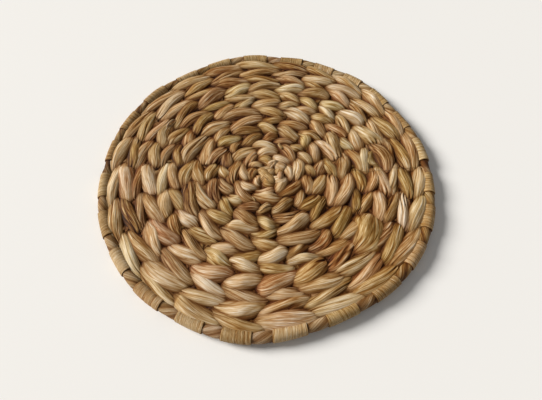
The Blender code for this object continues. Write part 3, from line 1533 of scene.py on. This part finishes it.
    def bow(self, across: np.ndarray, ridge: np.ndarray, crisp: np.ndarray) -> np.ndarray:
        """Work out how far a stalk's outer side falls away from its highest line.

        A soft stalk bows as the square of the distance from its middle. A crisp one falls
        in two flat facets from a ridge. Each pass mixes the two.

        Args:
            across: Place across the stalk, from -1 to 1.
            ridge: Place of the ridge.
            crisp: Share of the faceted shape.

        Returns:
            The fall, 1 at the edges of a soft stalk.
        """
        facets = np.sqrt((across - ridge) ** 2 + self.facet_rounding) - self.facet_level
        return (1.0 - crisp) * across**2 + crisp * facets

    def steps_per_pass(self, count: int, radius: float) -> int:
        """Return how many rings a pass needs, one for each ring step along it."""
        return max(self.fewest_rings, round(FULL_TURN * radius / count / self.ring_step))

    def widen(self, passes: Passes, middles: np.ndarray, weaver: int) -> None:
        """Make the round's bold passes stand out.

        Args:
            passes: The passes to change.
            middles: Direction of each, in radians.
            weaver: 0 or 1. Stalk 0 lies on top in even passes and stalk 1 in odd ones.
        """
        on_top = (np.arange(len(middles)) + weaver) % 2 == 0
        for bold in BOLD_PASSES:
            off = np.abs(within_half_turn(middles - math.radians(bold.angle_deg)))
            nearest = int(np.argmin(off))
            if on_top[nearest] and self.plan.inner <= bold.share < self.plan.outer:
                passes.width[nearest] = bold.width
                passes.shift[nearest] = bold.shift_mm * MM
                passes.lift[nearest] = bold.lift_mm * MM
                passes.tone[nearest] = np.array(bold.tone.value) ** bold.shade
                passes.thickness[nearest] = 1.0
                passes.roll[nearest] = 0.0
                passes.calm[nearest] = self.bold_calm

    @staticmethod
    def run_length(radius: np.ndarray, theta: np.ndarray, height: np.ndarray) -> np.ndarray:
        """Add up the length along a closed path.

        Args:
            radius: Distance of each of its points from the axis.
            theta: Direction of each point, in radians.
            height: Height of each point.

        Returns:
            The length from the path's start to the end of the hop after each point.
        """
        path = placed(radius, theta, height)
        hops = np.linalg.norm(np.diff(path, axis=0, append=path[:1]), axis=1)
        return np.cumsum(hops)

    @staticmethod
    def flat_width(across: np.ndarray, upward: np.ndarray) -> float:
        """Work out a stalk's width when pressed flat, which is half its mean girth.

        Args:
            across: How far across the section each point lies, a row for each ring.
            upward: How far up it lies.

        Returns:
            The width in metres.
        """
        sideways = np.roll(across, -1, axis=1) - across
        upwards = np.roll(upward, -1, axis=1) - upward
        return float(np.hypot(sideways, upwards).sum(axis=1).mean() / 2.0)

    def weave_both(self) -> list[Tube]:
        """Carry both stalks round the mat, crossing a little off the even places.

        Returns:
            The two stalks.
        """
        crossings = crossing_angles(self.plan.share)
        luck = np.random.default_rng(self.plan.number)
        spread = self.crossing_spread / (self.plan.share * self.mat.radius)
        most = self.most_crossing_spread
        crossings = crossings + luck.normal(0.0, 1.0, len(crossings)).clip(-most, most) * spread
        seed = self.plan.number * self.seeds_per_round
        return [self.weave(weaver, crossings, seed + weaver) for weaver in (0, 1)]

    def build(
        self, stalks: list[Tube], relief: Relief, finish: bpy.types.Material
    ) -> bpy.types.Object:
        """Make the round.

        Args:
            stalks: The round's two stalks.
            relief: The smoothed surface of the whole weave, which tells what lies sunk.
            finish: The stalk's material.

        Returns:
            The round's object.
        """
        for stalk in stalks:
            # Painted shade and dirt where the stalk lies sunk under its neighbours.
            stalk.tuck_shade_and_dirt = relief.sunk(stalk.points)
        name = f"twined_round_{self.plan.number:02d}"
        made = make_piece(name, stalks, finish, "woven_disc")
        return made


@dataclass
class Spokes:
    """Flattened stalks that run outwards through the weave, midway between crossings."""

    mat: Mat
    half_width: float = 1.9 * MM
    half_thick: float = 1.25 * MM
    width_spread: float = 0.05
    first_share: float = 0.03
    core_overlap: float = 0.01
    hub_overlap: float = 0.02
    hub_end: float = 0.40
    end_share: float = 0.955
    same_direction: float = 0.02
    tip_angle: float = 0.12
    taper_power: float = 0.25
    shade: float = 0.8
    fold_shade_and_dirt: float = 0.15
    grain_gap: float = 0.31
    rings: int = 18
    around: int = 12
    seed: int = 900

    def routes(self) -> list[tuple[float, float, float, float]]:
        """List the spokes.

        Returns:
            For each, the share of the radius where it starts, and its direction in radians
            in the hub, at the waist and at the edge.
        """
        table = np.radians(CROSSINGS)
        after = np.roll(table, -1, axis=0)
        after[-1] += FULL_TURN
        middle = (table + after) / 2.0
        is_added = np.isclose(table[:, 0] % FULL_TURN, after[:, 0] % FULL_TURN)
        core = crossing_angles(CORE_SHARE / 2.0)
        routes = []
        for hub, waist, edge, added in zip(*middle.T, is_added):
            start = self.first_share
            if added:
                start = HUB_SHARE - self.hub_overlap
            elif np.min(np.abs(within_half_turn(core - hub))) < self.same_direction:
                start = CORE_SHARE - self.core_overlap
            routes.append((start, hub, waist, edge))
        return routes

    def spoke(self, number: int, route: tuple[float, float, float, float]) -> Tube:
        """Carry a flat oval section out along one spoke.

        Args:
            number: The spoke's number, which seeds its variation.
            route: Its start and its directions, as routes() lists them.

        Returns:
            The spoke as an open tube that narrows at both ends.
        """
        luck = np.random.default_rng(self.seed + number)
        start, hub, waist, edge = route
        share = np.linspace(start, self.end_share, self.rings)
        angle = np.interp(share, (self.hub_end, WAIST_SHARE, EDGE_SHARE), (hub, waist, edge))[:, None]
        ends = np.linspace(self.tip_angle, math.pi - self.tip_angle, self.rings)
        taper = np.sin(ends) ** self.taper_power
        phi = even_turn(self.around)[None, :]
        width = self.half_width * taper * (1.0 + luck.normal(0.0, self.width_spread, self.rings))
        side = width[:, None] * np.cos(phi)
        up = (self.half_thick * taper)[:, None] * np.sin(phi)
        radius = (share * self.mat.radius)[:, None]
        points = placed(radius, angle, self.mat.middle_height + up, side)
        return Tube(
            points=self.mat.press(points),
            fibre=fibre_place(phi, radius + number * self.grain_gap),
            tone=tone_at(math.degrees(edge), luck) * self.shade,
            # The whole spoke is darkened by painted shade and dirt, as it lies within the weave.
            fold_shade_and_dirt=self.fold_shade_and_dirt,
            tuck_shade_and_dirt=1.0,
        )

    def build(self, finish: bpy.types.Material) -> bpy.types.Object:
        """Make the spokes.

        Args:
            finish: The stalk's material.

        Returns:
            The spokes' object.
        """
        tubes = [self.spoke(number, route) for number, route in enumerate(self.routes())]
        return make_piece("spokes", tubes, finish, "woven_disc")


@dataclass(frozen=True)
class Strap:
    """A short piece of stalk laid into the weave, with its sizes in millimetres.

    crest is how high its centre lies over the mat's middle, below zero for the underside.
    """

    x: float
    y: float
    turn_deg: float
    reach: float
    half_width: float
    half_thick: float
    crest: float


KNOT_STRAPS = (
    Strap(1.0, -3.2, -50.0, 8.4, 3.0, 1.1, 2.95),
    Strap(0.8, -2.6, 46.0, 8.0, 2.9, 1.1, 2.35),
    Strap(1.8, -4.8, 92.0, 6.0, 2.7, 1.1, 2.0),
    Strap(-0.5, 1.6, 15.0, 6.6, 2.7, 1.1, 1.7),
    Strap(8.6, -3.6, 84.0, 4.3, 1.9, 1.5, 2.75),
    Strap(9.0, 3.4, -28.0, 4.6, 3.1, 1.5, 2.55),
    Strap(3.9, 5.9, 25.0, 4.0, 2.3, 1.3, 2.75),
    Strap(0.0, 0.0, -48.0, 6.4, 2.8, 1.1, -2.7),
    Strap(0.0, 0.0, 44.0, 6.4, 2.8, 1.1, -2.2),
)
LOOSE_ENDS = (
    Strap(-61.2, 37.4, 52.0, 4.4, 0.60, 0.40, 3.65),
    Strap(-62.6, 35.6, 66.0, 3.6, 0.55, 0.35, 3.65),
)


@dataclass
class ShortPieces:
    """Short pieces of stalk: the straps that start the weave, or ends that stick out."""

    name: str
    straps: tuple[Strap, ...]
    seed: int
    mat: Mat
    rings: int = 20
    around: int = 28
    narrowing: float = 0.45
    thinning: float = 0.75
    bow: float = 0.25
    dip: float = 1.2 * MM
    creased_passes: int = 4
    crease_pace: float = 1.9
    creasing: float = 0.6
    deepest_crease: float = 0.3
    crease_sides: float = 3.0
    whole_half_width: float = 1.8
    sliver_power: float = 0.5

    def lay(self, strap: Strap, seed: int) -> Tube:
        """Carry a creased flat section along the strap, dipping at both ends.

        At a share s from -1 to 1 along the strap, its centre is at crest * (1 - s^4) from
        the mat's middle, less dip * s^6, its width narrows towards the ends as
        1 - narrowing * s^2 and its thickness as 1 - thinning * s^6. One below the middle is
        the same, turned over. A sliver is paler than a whole stalk, and its creases are
        fainter.

        Args:
            strap: The strap.
            seed: Seed of its creases and tone.

        Returns:
            The strap as an open tube.
        """
        luck = np.random.default_rng(seed)
        share = math.hypot(strap.x, strap.y) * MM / self.mat.radius
        whole = min(strap.half_width / self.whole_half_width, 1.0)
        s = np.linspace(-1.0, 1.0, self.rings)
        phi = even_turn(self.around)[None, :]
        width = (strap.half_width * MM * (1.0 - self.narrowing * s**2))[:, None]
        thick = (strap.half_thick * MM * (1.0 - self.thinning * s**6))[:, None]
        flat = np.ones((self.rings, 1)) * np.cos(phi)
        creases = Creases.draw(np.ones(self.creased_passes), luck)
        depth, line = creases.depth_at((s + 1.0) * self.crease_pace, flat)
        seen = np.clip(np.sin(phi) * self.crease_sides, 0.0, 1.0)
        depth = np.minimum(self.creasing * depth, self.deepest_crease * thick) * seen
        up = thick * np.sin(phi) - self.bow * width * flat**2 - depth
        along = (s * strap.reach * MM)[:, None]
        height = (abs(strap.crest) * MM * (1.0 - s**4) - self.dip * s**6)[:, None]
        height = self.mat.middle_height + math.copysign(1.0, strap.crest) * (height + up)
        points = placed(along, math.radians(strap.turn_deg), height, width * flat)
        points = points + np.array([strap.x * MM, strap.y * MM, 0.0])
        paler = self.sliver_power + (1.0 - self.sliver_power) * whole
        return Tube(
            points=points,
            fibre=fibre_place(phi, along + seed),
            tone=tone_at(math.degrees(math.atan2(strap.y, strap.x)), luck, share) ** paler,
            # Crease lines and the ends, where they dip under the weave, are darkened by painted shade
            # and dirt.
            fold_shade_and_dirt=line * whole**2,
            tuck_shade_and_dirt=(s**4 * whole)[:, None],
        )

    def build(self, finish: bpy.types.Material) -> bpy.types.Object:
        """Make the pieces.

        Args:
            finish: The stalk's material.

        Returns:
            Their object.
        """
        tubes = [self.lay(strap, seed) for seed, strap in enumerate(self.straps, start=self.seed)]
        return make_piece(self.name, tubes, finish, "woven_disc")


@dataclass
class RimStalks:
    """A bundle of stalks round the edge, squeezed under each wrap and full between them."""

    mat: Mat
    bare: np.ndarray
    squeezed: float = 2.65 * MM
    full: float = 3.15 * MM
    swell_reach_deg: float = 3.4
    strands: int = 3
    twists: int = 57
    strand_depth: float = 0.30 * MM
    strand_power: float = 0.6
    hairs: int = 11
    hair_twists: int = 3
    hair_depth: float = 0.10 * MM
    hair_power: float = 0.7
    shade: float = 0.85
    fold_shade_and_dirt: float = 0.8
    rings: int = 432
    around: int = 40
    rings_per_cell: int = 12
    seed: int = 501

    def build(self, finish: bpy.types.Material) -> bpy.types.Object:
        """Carry the bundle's lobed section round the rim's centre line.

        At angle a round the mat and f round the section, the radius of the section is
        base(a) + depth * (|sin((strands * f - twists * a) / 2)|^0.6 - 1), less a finer
        ripple of the same kind. The base swells from squeezed to full midway between two
        wraps, as exp(-(off / reach)^4).

        Args:
            finish: The rim's material.

        Returns:
            The bundle's object.
        """
        luck = np.random.default_rng(self.seed)
        turn = even_turn(self.rings)
        theta = turn[:, None]
        phi = even_turn(self.around)[None, :]
        off = np.abs(within_half_turn(theta - self.bare[None, :])).min(axis=1)
        swell = np.exp(-((off / math.radians(self.swell_reach_deg)) ** 4))
        base = self.squeezed + (self.full - self.squeezed) * swell
        lobes = np.abs(np.sin((self.strands * phi - self.twists * theta) / 2.0)) ** self.strand_power
        ripple = self.hairs * phi - self.twists * self.hair_twists * theta
        hairs = np.abs(np.sin(ripple / 2.0)) ** self.hair_power
        ring = base[:, None] + self.strand_depth * (lobes - 1.0) + self.hair_depth * (hairs - 1.0)
        z = self.mat.middle_height + ring * np.sin(phi)
        points = placed(self.mat.rim_radius + ring * np.cos(phi), theta, z)
        tones = np.array([tone_at(math.degrees(a), luck) * self.shade for a in self.bare])
        tone = loop_ease(tones, turn / FULL_TURN * len(self.bare) - 0.5)
        tube = Tube(
            points=self.mat.press(points),
            fibre=fibre_place(phi - self.twists / self.strands * theta, self.mat.rim_radius * theta),
            tone=tone[:, None, :],
            # Painted shade and dirt between the strands and where the bundle is squeezed under a wrap.
            fold_shade_and_dirt=np.clip(1.0 - lobes, 0.0, 1.0) * self.fold_shade_and_dirt,
            tuck_shade_and_dirt=(1.0 - swell)[:, None],
            cell_rings=self.rings_per_cell,
        )
        return make_piece("rim_stalks", [tube], finish, "rim_cord")


@dataclass
class RimWrap:
    """A strip of split stalk wound many times round the rim over a spoke's end."""

    number: int
    start: float
    end: float
    mat: Mat
    fewest_turns: int = 7
    most_turns: int = 10
    least_slant: float = 0.5
    most_slant: float = 1.4
    ridge: float = 0.16 * MM
    least_ridge: float = 0.15
    ridge_range: float = 1.25
    shell: float = 0.75 * MM
    end_reach: float = 0.35 * MM
    end_drop: float = 0.30 * MM
    inner_end: float = 0.005
    shade_mean: float = 0.06
    shade_spread: float = 0.12
    grain_around: float = 3.5 * MM
    grain_gap: float = 0.4
    around: int = 28
    rings_per_turn: int = 7
    inner_rings: int = 6
    seed: int = 300

    def build(self, finish: bpy.types.Material) -> bpy.types.Object:
        """Make the wound strip as a thin sleeve with a helical step at each turn.

        The sleeve's outer radius is the rim's, less ridge * x^2 where x runs from 0 to 1
        over each turn's width and jumps back where the next turn overlaps it. Turns
        advance by one strip's width each time round, so the steps lie at a slant. At each
        end the outer skin rolls in to the inner one. The tone is half way to olive.

        Args:
            finish: The wrap's material.

        Returns:
            The wrap's object.
        """
        luck = np.random.default_rng(self.seed + self.number)
        turns = int(luck.integers(self.fewest_turns, self.most_turns + 1))
        t = np.linspace(0.0, 1.0, turns * self.rings_per_turn)
        phi = even_turn(self.around) + math.pi
        slant = luck.choice([-1.0, 1.0]) * luck.uniform(self.least_slant, self.most_slant)
        advance = slant * phi[None, :] / FULL_TURN
        phase = t[:, None] * turns + advance
        step = phase - np.floor(phase)
        uneven = self.least_ridge + self.ridge_range * luck.random(turns + 2) ** 2
        uneven = uneven[np.floor(phase).astype(int) % (turns + 2)]
        span = (self.end - self.start) * self.mat.rim_radius
        from_end = np.minimum(t, 1.0 - t) * span
        short = 1.0 - np.clip(from_end / self.end_reach, 0.0, 1.0)
        rolled = 1.0 - np.sqrt(1.0 - short**2)
        outer = self.mat.rim_thickness / 2.0 - self.ridge * uneven * step**2
        outer = outer - (self.end_drop * rolled)[:, None]
        inner = np.full((self.inner_rings, self.around), self.mat.rim_thickness / 2.0 - self.shell)
        ring = np.concatenate([outer, inner])
        back = np.linspace(1.0 - self.inner_end, self.inner_end, self.inner_rings)
        share = np.concatenate([t, back])[:, None]
        angle = self.start + (self.end - self.start) * share
        z = self.mat.middle_height + ring * np.sin(phi)[None, :]
        points = placed(self.mat.rim_radius + ring * np.cos(phi)[None, :], angle, z)
        drawn = tone_at(math.degrees((self.start + self.end) / 2.0), luck, WRAP_SHADE_SHARE)
        drawn = drawn ** math.exp(luck.normal(self.shade_mean, self.shade_spread))
        across = share * span + advance * span / turns
        along = (self.grain_around * phi + self.grain_gap * self.number)[None, :]
        tube = Tube(
            points=self.mat.press(points),
            fibre=np.stack(np.broadcast_arrays(across, 0.0, along), axis=-1),
            tone=(drawn + np.array(Tone.OLIVE.value)) / 2.0,
            # Painted shade and dirt at the step where the next turn lies over this one, at the rolled
            # ends and inside.
            fold_shade_and_dirt=np.concatenate([step**4 * uneven.clip(0.0, 1.0), 0.0 * inner]),
            tuck_shade_and_dirt=np.concatenate([rolled, np.ones(self.inner_rings)])[:, None],
            cell_rings=len(share),
        )
        node = f"rim_wrap_{self.number:02d}"
        return make_piece(f"wrap_{self.number:02d}", [tube], finish, node)


def wrap_span(number: int) -> tuple[float, float]:
    """Read where a wrap starts and ends round the mat from its node.

    Args:
        number: The wrap's number.

    Returns:
        Its first and last angle in radians.
    """
    points = mesh_points(f"rim_wrap_{number:02d}")
    middle = points.mean(axis=0)
    centre = math.atan2(middle[1], middle[0])
    off = within_half_turn(np.arctan2(points[:, 1], points[:, 0]) - centre)
    return centre + float(off.min()), centre + float(off.max())


@dataclass(frozen=True)
class Studio:
    """Pale floor, soft light and the camera."""

    floor_radius: float = 2.5
    floor_sides: int = 96
    floor_colour: tuple[float, float, float, float] = (0.86, 0.855, 0.845, 1.0)
    floor_roughness: tuple[float, float] = (0.84, 0.90)
    floor_cloud_scale: float = 3.0
    sky_colour: tuple[float, float, float, float] = (1.0, 0.985, 0.96, 1.0)
    sky_strength: float = 0.24
    key_azimuth_deg: float = 165.0
    key_elevation_deg: float = 30.0
    key_distance: float = 0.85
    key_spread_deg: float = 24.0
    key_strength: float = 4.95
    key_colour: tuple[float, float, float] = (1.0, 0.97, 0.92)
    lens: float = 29.06
    sensor_width: float = 36.0
    nearest: float = 0.01
    eye: tuple[float, float, float] = (0.0031, -0.1465, 0.22495)
    aim: tuple[float, float, float] = (0.0031, -0.0185, 0.00425)
    roll_deg: float = 0.17

    def build_floor(self) -> bpy.types.Object:
        """Make a round, matt floor at height zero.

        Returns:
            The floor's object.
        """
        turn = even_turn(self.floor_sides)
        points = placed(np.full(self.floor_sides, self.floor_radius), turn, 0.0)
        mesh = bpy.data.meshes.new("floor")
        mesh.from_pydata(points.tolist(), [], [list(range(self.floor_sides))])
        floor = bpy.data.objects.new("floor", mesh)
        bpy.context.scene.collection.objects.link(floor)
        material = bpy.data.materials.new("Pale floor")
        material.use_nodes = True
        board = NodeBoard(material.node_tree)
        place = board.put("TexCoord").outputs["Object"]
        cloud = board.put("TexNoise", {"Scale": self.floor_cloud_scale, "Vector": place})
        roughness = board.remap(cloud.outputs["Fac"], target=self.floor_roughness)
        skin = material.node_tree.nodes["Principled BSDF"]
        board.feed(skin, {"Base Color": self.floor_colour, "Roughness": roughness})
        mesh.materials.append(material)
        return floor

    def build_light(self) -> bpy.types.Object:
        """Make the key light and the even sky.

        Returns:
            The key light's object.
        """
        world = bpy.data.worlds.new("Soft sky")
        world.use_nodes = True
        sky = world.node_tree.nodes["Background"]
        NodeBoard(world.node_tree).feed(sky, {"Color": self.sky_colour, "Strength": self.sky_strength})
        bpy.context.scene.world = world
        lamp = bpy.data.lights.new("key", "SUN")
        lamp.angle = math.radians(self.key_spread_deg)
        lamp.energy = self.key_strength
        lamp.color = self.key_colour
        key = bpy.data.objects.new("key", lamp)
        azimuth = math.radians(self.key_azimuth_deg)
        elevation = math.radians(self.key_elevation_deg)
        level = math.cos(elevation)
        direction = Vector((math.cos(azimuth) * level, math.sin(azimuth) * level, math.sin(elevation)))
        key.location = direction * self.key_distance
        key.rotation_mode = "QUATERNION"
        key.rotation_quaternion = direction.to_track_quat("Z", "Y")
        bpy.context.scene.collection.objects.link(key)
        return key

    def build_camera(self) -> bpy.types.Object:
        """Make the camera and make it the scene's.

        Returns:
            The camera's object.
        """
        data = bpy.data.cameras.new("camera")
        data.lens = self.lens
        data.sensor_width = self.sensor_width
        data.clip_start = self.nearest
        camera = bpy.data.objects.new("camera", data)
        camera.location = self.eye
        look = (Vector(self.aim) - Vector(self.eye)).to_track_quat("-Z", "Y")
        roll = Quaternion((0.0, 0.0, 1.0), math.radians(self.roll_deg))
        camera.rotation_mode = "QUATERNION"
        camera.rotation_quaternion = look @ roll
        bpy.context.scene.collection.objects.link(camera)
        bpy.context.scene.camera = camera
        bpy.context.scene.view_settings.view_transform = "Standard"
        return camera


def report(made: bpy.types.Object) -> None:
    """Report a finished piece."""
    LOG.info("%s: %d faces", made.name, len(made.data.polygons))


def main() -> None:
    """Load the frame, build each piece in order and report it."""
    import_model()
    studio = Studio()
    studio.build_camera()
    studio.build_light()
    studio.build_floor()
    mat = Mat.read()
    finishes = Finishes.build()
    report(Spokes(mat).build(finishes.stalk))
    rounds = [TwinedRound(plan, mat) for plan in plan_rounds()]
    woven = [each.weave_both() for each in rounds]
    relief = Relief.read([stalk.points for pair in woven for stalk in pair], mat)
    for each, pair in zip(rounds, woven):
        report(each.build(pair, relief, finishes.stalk))
    for name, straps, seed in (("hub_knot", KNOT_STRAPS, 71), ("loose_ends", LOOSE_ENDS, 91)):
        report(ShortPieces(name, straps, seed, mat).build(finishes.stalk))
    spans = np.array([wrap_span(number) for number in range(1, WRAPS + 1)])
    ends_before = np.append(spans[-1, 1] - FULL_TURN, spans[:-1, 1])
    bare = (ends_before + spans[:, 0]) / 2.0
    report(RimStalks(mat, bare).build(finishes.rim))
    for number, (start, end) in enumerate(spans, start=1):
        report(RimWrap(number, start, end, mat).build(finishes.wrap))


if __name__ == "__main__":
    logging.basicConfig(level=logging.INFO, format="%(name)s: %(message)s")
    main()
